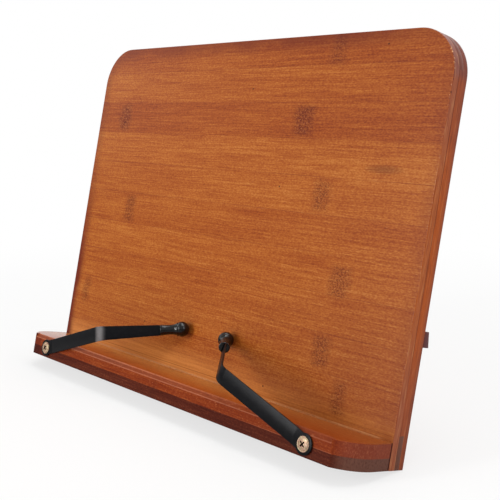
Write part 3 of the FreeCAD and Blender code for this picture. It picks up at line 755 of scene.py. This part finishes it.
def recessFinish(name):  # a dark red-brown in the cross of a screw
    paint = Paint(bpy.data.materials.new(name))
    grit = paint.noise(paint.inMillimetres(), scale=darkTone["grit"], detail=3.0)
    return paint.finish(baseColor=paint.blend(grit, *darkTone["colours"]), metallic=darkTone["metallic"],
                        roughness=roughnessOf(darkTone, grit))


finishes = {
    "panel_bamboo": bambooFinish("lacqueredPanel", panelLook),
    "frame_bamboo": bambooFinish("stainedFrame", frameLook),
    "rail_bamboo": bambooFinish("stainedRail", railLook),
    "ledge_upper_bamboo": bambooFinish("ledgeTop", ledgeUpperLook),
    "ledge_lower_bamboo": bambooFinish("ledgeUnderside", ledgeLowerLook),
    "batten_bamboo": bambooFinish("stainedBatten", battenLook),
    "leg_bamboo": bambooFinish("stainedLeg", legLook),
    "leg_rail_bamboo": bambooFinish("stainedLegRail", dict(legLook, grain="x")),
    "strap_steel": blackPaintFinish("satinBlackStrap", withBendHighlight=True),
    "wire_steel": blackPaintFinish("satinBlackWire"),
    "tip_rubber": mottledFinish("glossyRubber", rubber),
    "hinge_brass": mottledFinish("wornBrass", brass),
    "screw_zinc": passivatedFinish("yellowZinc"),
    "recess": recessFinish("recessDark"),
}
print("finishes made")


# ---- dressing the solids ----

slotOf = {row["node"]: row["material_slot"] for row in frame["record"]["subparts"]}
finishOf = dict(slotOf, top_rail="rail_bamboo", bottom_rail="rail_bamboo", hinge_rail="rail_bamboo",
                rear_batten="batten_bamboo", leg_hinge_bar="leg_rail_bamboo", leg_foot_bar="leg_rail_bamboo")
bodyOf = {node: body for body, members in frame["record"]["behaviour"]["bodies"].items() for node in members}

for name, node in nodes.items():
    for slot in node.material_slots:
        slot.material = finishes[finishOf[name]]


def meshOf(shape, name):
    mesh = bpy.data.meshes.new(name)
    shape.to_mesh(mesh)
    shape.free()
    return mesh


def linked(name, data):  # an object of its own in the scene
    made = bpy.data.objects.new(name, data)
    bpy.context.scene.collection.objects.link(made)
    return made


def pieceFrom(shape, name, finishNames, node, smoothWithin=32.0):  # a piece that stands for a node
    mesh = meshOf(shape, name)
    for finishName in finishNames:
        mesh.materials.append(finishes[finishName])
    mesh.shade_smooth()
    mesh.set_sharp_from_angle(angle=math.radians(smoothWithin))
    piece = linked(name, mesh)
    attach(piece, bodyOf[node])
    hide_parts(node)
    return piece


joinSolid, joinProfile = 0.002 * mm, 0.001 * mm  # points this near are one
flatWithin = math.radians(0.6)
sharpFrom = math.radians(38)


def mergedCopy(node):  # a node's loose triangles joined, with its flat faces whole
    shape = bmesh.new()
    shape.from_mesh(nodes[node].data)
    bmesh.ops.remove_doubles(shape, verts=shape.verts, dist=joinSolid)
    bmesh.ops.dissolve_limit(shape, angle_limit=flatWithin, verts=shape.verts, edges=shape.edges)
    return shape


easing = {  # millimetres taken off each arris
    "left_stile": 0.08, "right_stile": 0.08, "top_rail": 0.08, "bottom_rail": 0.08, "hinge_rail": 0.3,
    "rear_batten": 0.4,
    "left_leg_bar": 0.35, "right_leg_bar": 0.35, "leg_hinge_bar": 0.35, "leg_foot_bar": 0.35,
    "left_board_leaf": 0.12, "right_board_leaf": 0.12, "left_leg_leaf": 0.12, "right_leg_leaf": 0.12,
    "left_clip_strap": 0.16, "right_clip_strap": 0.16,
}


def easedPiece(node, width):
    shape = mergedCopy(node)
    folds = [edge for edge in shape.edges if len(edge.link_faces) == 2]
    arrises = [edge for edge in folds if edge.calc_face_angle() > sharpFrom]
    bmesh.ops.bevel(shape, geom=arrises, offset=width * mm, offset_type="OFFSET", segments=2, profile=0.5,
                    affect="EDGES", clamp_overlap=True, material=-1)
    return pieceFrom(shape, node + "_eased", [finishOf[node]], node)


for node, width in easing.items():
    easedPiece(node, width)
print("arrises eased")


# ---- screws ----

# Shares: length and width of the head's diameter, depth of its height, taper of the cross itself.
crossRecess = {"length": 0.76, "width": 0.19, "depth": 0.62, "taper": 0.45}
shankWithin = 0.02


def islandsOf(node):  # a node's separate solids, as lists of points, in the same order each run
    shape = mergedCopy(node)
    left, islands = dict.fromkeys(shape.verts), []
    while left:
        island = [left.popitem()[0]]
        for point in island:  # the list grows as neighbours are found
            for side in point.link_edges:
                near = side.other_vert(point)
                if near in left:
                    del left[near]
                    island.append(near)
        islands.append(np.array([point.co[:] for point in island]))
    shape.free()
    return islands


def longDirection(points):
    spread = points - points.mean(axis=0)
    return np.linalg.eigh(spread.T @ spread)[1][:, 2]


def middleOf(points):
    return (points.min(axis=0) + points.max(axis=0)) / 2


def screwFrame(points):  # where the head's top is, which way the screw goes in, and its sizes
    inwards = [fromBoard.to_3x3() @ Matrix.Rotation(turn, 3, "X") @ Vector((0, 1, 0))
               for turn in (0.0, legFold)]
    candidates = [np.array(sign * inward) for inward in inwards for sign in (1, -1)]
    direction = max(candidates, key=lambda candidate: candidate @ longDirection(points))
    heights = points @ direction
    flat = points - np.outer(heights, direction)
    radii = np.linalg.norm(flat - middleOf(flat), axis=1)
    if heights[radii.argmax()] > middleOf(heights):
        direction, heights = -direction, -heights
    top = heights.min()
    heights -= top
    shankRadius = radii[heights > np.median(heights)].max()
    headHeight = heights[abs(radii - shankRadius) < shankWithin * shankRadius].min()
    return {
        "top": Vector(middleOf(flat) + direction * top),
        "inward": Vector(direction),
        "length": heights.max(),
        "headRadius": radii.max(),
        "shankRadius": shankRadius,
        "headHeight": headHeight,
        "recessDepth": headHeight * crossRecess["depth"],
    }


def spun(profile, steps):  # a closed profile of radius and height, turned about the upright axis
    shape = bmesh.new()
    points = [shape.verts.new((radius, 0, height)) for radius, height in profile]
    lines = [shape.edges.new(pair) for pair in zip(points, points[1:])]
    bmesh.ops.spin(shape, geom=points + lines, cent=(0, 0, 0), axis=(0, 0, 1), angle=math.tau,
                   steps=steps, use_merge=True, use_duplicate=False)
    bmesh.ops.remove_doubles(shape, verts=shape.verts, dist=joinProfile)
    bmesh.ops.recalc_face_normals(shape, faces=shape.faces)
    return shape


def wedge(length, width, depth, taper):  # a tapered bar that sinks from the origin along +Z
    shape = bmesh.new()
    bmesh.ops.create_cube(shape, size=1.0)
    bmesh.ops.scale(shape, verts=shape.verts, vec=(length, width, 2 * depth))
    deep = [point for point in shape.verts if point.co.z > 0]
    bmesh.ops.scale(shape, verts=deep, vec=(taper, taper, 1))
    for face in shape.faces:
        face.material_index = 1
    return shape


def carved(shape, cutters):  # a bmesh with every cutter taken out of it
    body = linked("body", meshOf(shape, "body"))
    tools = [linked("cutter", meshOf(cutter, "cutter")) for cutter in cutters]
    for made in [body] + tools:
        made.data.materials.append(finishes["screw_zinc"])
        made.data.materials.append(finishes["recess"])
    for tool in tools:
        cut = body.modifiers.new("cut", "BOOLEAN")
        cut.operation, cut.solver, cut.material_mode, cut.object = "DIFFERENCE", "EXACT", "INDEX", tool
    bpy.context.view_layer.update()
    mesh = bpy.data.meshes.new_from_object(body.evaluated_get(bpy.context.evaluated_depsgraph_get()))
    result = bmesh.new()
    result.from_mesh(mesh)
    for made in [body] + tools:
        bpy.data.objects.remove(made)
    return result


def crossCutters(screw):
    recess, across = crossRecess, 2 * screw["headRadius"]
    sizes = (across * recess["length"], across * recess["width"], screw["recessDepth"], recess["taper"])
    cutters = [wedge(*sizes) for _ in range(2)]
    bmesh.ops.rotate(cutters[1], verts=cutters[1].verts, matrix=Matrix.Rotation(math.pi / 2, 3, "Z"))
    return cutters


def standing(origin, direction, roll):  # takes +Z to the direction, after a roll about it
    turn = Vector((0, 0, 1)).rotation_difference(direction).to_matrix().to_4x4()
    return Matrix.Translation(origin) @ turn @ Matrix.Rotation(roll, 4, "Z")


# Shares of a head's radius, the last of the shank's.
flatHead = {"face": 0.95, "rim": 0.998, "rimDrop": 0.03, "point": 0.25}

# Shares of a head's radius across and of its height down.
dome = ((0, 0), (0.3, 0.05), (0.56, 0.19), (0.76, 0.38), (0.9, 0.6), (0.97, 0.78), (0.998, 0.92), (0.998, 1))


def flatHeadProfile(screw):
    head, shank, length = screw["headRadius"], screw["shankRadius"], screw["length"]
    return [(0, 0), (head * flatHead["face"], 0), (head * flatHead["rim"], head * flatHead["rimDrop"]),
            (shank, screw["headHeight"]), (shank, length - shank), (shank * flatHead["point"], length),
            (0, length)]


def roundHeadProfile(screw):
    shank, length = screw["shankRadius"], screw["length"]
    crown = [(screw["headRadius"] * across, screw["headHeight"] * down) for across, down in dome]
    return crown + [(shank, screw["headHeight"]), (shank, length), (0, length)]


# The first is a share of the solid's head radius, and the others are shares of the new one.
clipHead = {"radius": 0.87, "rise": 0.18, "recess": 0.36}


def smallerHead(points):  # a lower and narrower head within the solid's
    screw = screwFrame(points)
    radius = screw["headRadius"] * clipHead["radius"]
    drop = screw["headHeight"] - clipHead["rise"] * radius
    return dict(
        screw,
        top=screw["top"] + screw["inward"] * drop,
        length=screw["length"] - drop,
        headRadius=radius,
        headHeight=screw["headHeight"] - drop,
        recessDepth=clipHead["recess"] * radius)


def crossHeadScrews(node, profileOf, rolls, screwOf=screwFrame):
    joined = bmesh.new()
    for points, roll in zip(islandsOf(node), rolls):
        screw = screwOf(points)
        shape = carved(spun(profileOf(screw), steps=40), crossCutters(screw))
        bmesh.ops.transform(shape, matrix=standing(screw["top"], screw["inward"], roll), verts=shape.verts)
        joined.from_mesh(meshOf(shape, "screw"))
    return pieceFrom(joined, node + "_cross_head", ["screw_zinc", "recess"], node)


clipScrewRoll = math.radians(42)
random.seed(7)
for node in ("batten_screws", "ledge_screws", "board_leaf_screws", "leg_leaf_screws"):
    crossHeadScrews(node, flatHeadProfile, [random.uniform(0, math.pi / 2) for _ in range(4)])
for node in ("left_clip_screw", "right_clip_screw"):
    crossHeadScrews(node, roundHeadProfile, [clipScrewRoll], screwOf=smallerHead)
print("screws driven")


# ---- rubber boots ----

boot = {  # radius and height of the outline, and the slot's size, in ball radii
    "outline": (
        (0.0, -2.77), (0.6, -2.77), (0.68, -2.74), (0.705, -2.6), (0.69, -2.36), (0.645, -2.0), (0.625, -1.6),
        (0.64, -1.2), (0.7, -0.86), (0.8, -0.66), (0.87, -0.56), (0.885, -0.47), (0.85, -0.39), (0.88, -0.34),
        (0.95, -0.26), (0.995, -0.05), (0.98, 0.24), (0.86, 0.52), (0.66, 0.76), (0.38, 0.93), (0.0, 1.0)),
    "slot": (1.25, 0.5, 1.5),
    "slotTaper": 0.72,
    "mouth": 0.3 * mm,
    "smoothWithin": 50.0,
}


def rounded(outline, times):  # cuts the corners of an open outline
    for _ in range(times):
        cut = [outline[0]]
        for (r0, h0), (r1, h1) in zip(outline, outline[1:]):
            cut += [(near * r0 + (1 - near) * r1, near * h0 + (1 - near) * h1) for near in (0.75, 0.25)]
        outline = cut + [outline[-1]]
    return outline


def rubberBoot(side):
    node = side + "_clip_tip"
    points = np.array([v.co[:] for v in nodes[node].data.vertices])
    screw = np.array(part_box(side + "_clip_screw")).mean(axis=0)
    direction = longDirection(points)
    if (points.mean(axis=0) - screw) @ direction < 0:
        direction = -direction
    heights = points @ direction
    crown = points[heights.argmax()]
    mouth = middleOf(points[heights < heights.min() + boot["mouth"]])
    along = Vector(crown - mouth)
    ball = along.length / (1.0 - boot["outline"][0][1])
    along.normalize()
    across = along.cross(fromBoard.to_3x3() @ Vector((0, 1, 0))).normalized()
    turn = Matrix((across, along.cross(across), along)).transposed().to_4x4()
    outline = [(radius * ball, height * ball) for radius, height in rounded(boot["outline"], times=2)]
    shape = spun(outline, steps=48)
    slot = wedge(*(size * ball for size in boot["slot"]), boot["slotTaper"])
    bmesh.ops.translate(slot, verts=slot.verts, vec=(0, 0, boot["outline"][0][1] * ball))
    shape = carved(shape, [slot])
    for face in shape.faces:
        face.material_index = 0
    place = Matrix.Translation(Vector(crown) - along * ball) @ turn
    bmesh.ops.transform(shape, matrix=place, verts=shape.verts)
    return pieceFrom(shape, side + "_rubber_boot", ["tip_rubber"], node, boot["smoothWithin"])


for side in ("left", "right"):
    rubberBoot(side)
print("boots pushed on")


# ---- floor, light and camera ----

stage = {
    "floor": tone(246, 246, 245),
    "floorHalf": 8.0, "fade": (0.16, 0.8), "frontEdge": (-0.1, 0.25),  # in metres
    "shadowShare": 0.3,  # how much of the object's shadow the floor shows
    "frontGlow": 0.18,  # what glossy surfaces see in front of the stand; behind it is the pale backdrop
    "backEdge": (-0.15, 0.3), "upper": (0.1, 0.3), "left": (0.72, 0.9),  # parts of a unit direction
    "ambient": 0.42, "upperGlow": 0.36, "leftGlow": 0.8,
}

lamps = {
    "frontSoftbox": {"azimuth": -16, "elevation": 13, "away": 1.3, "size": (0.3, 0.8), "power": 9},
    "overhead": {"azimuth": 150, "elevation": 78, "away": 1.2, "size": (1.1, 0.8), "power": 9},
    "rightFill": {"azimuth": 95, "elevation": 25, "away": 1.6, "size": (0.7, 0.9), "power": 4},
}

viewpoint = {"position": (0.4775, -0.40848, 0.2002), "azimuth": 47.9, "elevation": 8.82,
             "focalLength": 66.81, "sensor": 36.0, "nearest": 0.02}


def towards(azimuth, elevation):  # unit vector out to a place round the stand
    a, e = math.radians(azimuth), math.radians(elevation)
    return Vector((math.sin(a) * math.cos(e), -math.cos(a) * math.cos(e), math.sin(e)))


def putUp(name, data, position, outward):  # a lamp or a camera that looks back inwards
    holder = linked(name, data)
    holder.location = position
    holder.rotation_euler = outward.to_track_quat("Z", "Y").to_euler()
    return holder


def raysOf(paint):  # 1 for rays from the camera, from gloss and through glass
    outputs = paint.tree.nodes.new("ShaderNodeLightPath").outputs
    return [Term(paint, outputs["Is %s Ray" % name]) for name in ("Camera", "Glossy", "Transmission")]


def layFloor():
    shape = bmesh.new()
    bmesh.ops.create_grid(shape, x_segments=1, y_segments=1, size=stage["floorHalf"])
    floor = linked("floor", meshOf(shape, "floor"))
    paint = Paint(bpy.data.materials.new("paleFloor"))
    distance = paint.node("VectorMath", {"operation": "LENGTH"}, (paint.place(),), output=1)
    matt = paint.node("BsdfDiffuse", {}, {"Color": stage["floor"]})
    bright = paint.node("Emission", {}, {"Color": (1, 1, 1), "Strength": 1.0})
    dim = paint.node("Emission", {}, {"Color": (1, 1, 1), "Strength": stage["frontGlow"]})
    camera, glossy, through = raysOf(paint)
    share = stage["shadowShare"]
    far = (distance.step(*stage["fade"]) * share + (1 - share)) * camera.atLeast(glossy).atLeast(through)
    ahead = paint.split(paint.place())[1].fade(*stage["frontEdge"])
    seen = paint.node("MixShader", {}, (glossy * (1.0 - camera) * ahead, bright, dim))
    paint.node("OutputMaterial", {}, {"Surface": paint.node("MixShader", {}, (far, matt, seen))})
    floor.data.materials.append(paint.owner)


def lightRoom():
    paint = Paint(bpy.data.worlds.new("studio"))
    bpy.context.scene.world = paint.owner
    camera, glossy, through = raysOf(paint)
    x, y, z = paint.split(paint.node("TexCoord"))
    upperGlow = (-x).step(*stage["left"]) * stage["leftGlow"] + stage["upperGlow"]
    ahead = stage["frontGlow"] + z.step(*stage["upper"]) * upperGlow
    back = y.step(*stage["backEdge"])
    mirrored = back + (1.0 - back) * ahead
    direct = camera.atLeast(through)
    ambient = stage["ambient"]
    strength = ambient + direct * (1 - ambient) + glossy * (1.0 - direct) * (mirrored - ambient)
    light = paint.node("Background", {}, {"Color": (1, 1, 1), "Strength": strength})
    paint.node("OutputWorld", {}, {"Surface": light})


def hangLamps():
    middle = (cadLow + cadHigh) / 2
    for name, lamp in lamps.items():
        light = bpy.data.lights.new(name, "AREA")
        light.shape, light.energy = "RECTANGLE", lamp["power"]
        light.size, light.size_y = lamp["size"]
        outward = towards(lamp["azimuth"], lamp["elevation"])
        putUp(name, light, middle + outward * lamp["away"], outward)


def setCamera():
    camera = bpy.data.cameras.new("camera")
    camera.sensor_width, camera.lens = viewpoint["sensor"], viewpoint["focalLength"]
    camera.clip_start = viewpoint["nearest"]
    outward = towards(viewpoint["azimuth"], viewpoint["elevation"])
    bpy.context.scene.camera = putUp("camera", camera, viewpoint["position"], outward)


layFloor()
lightRoom()
hangLamps()
setCamera()
bpy.context.scene.view_settings.view_transform = "Standard"
print("stage set")
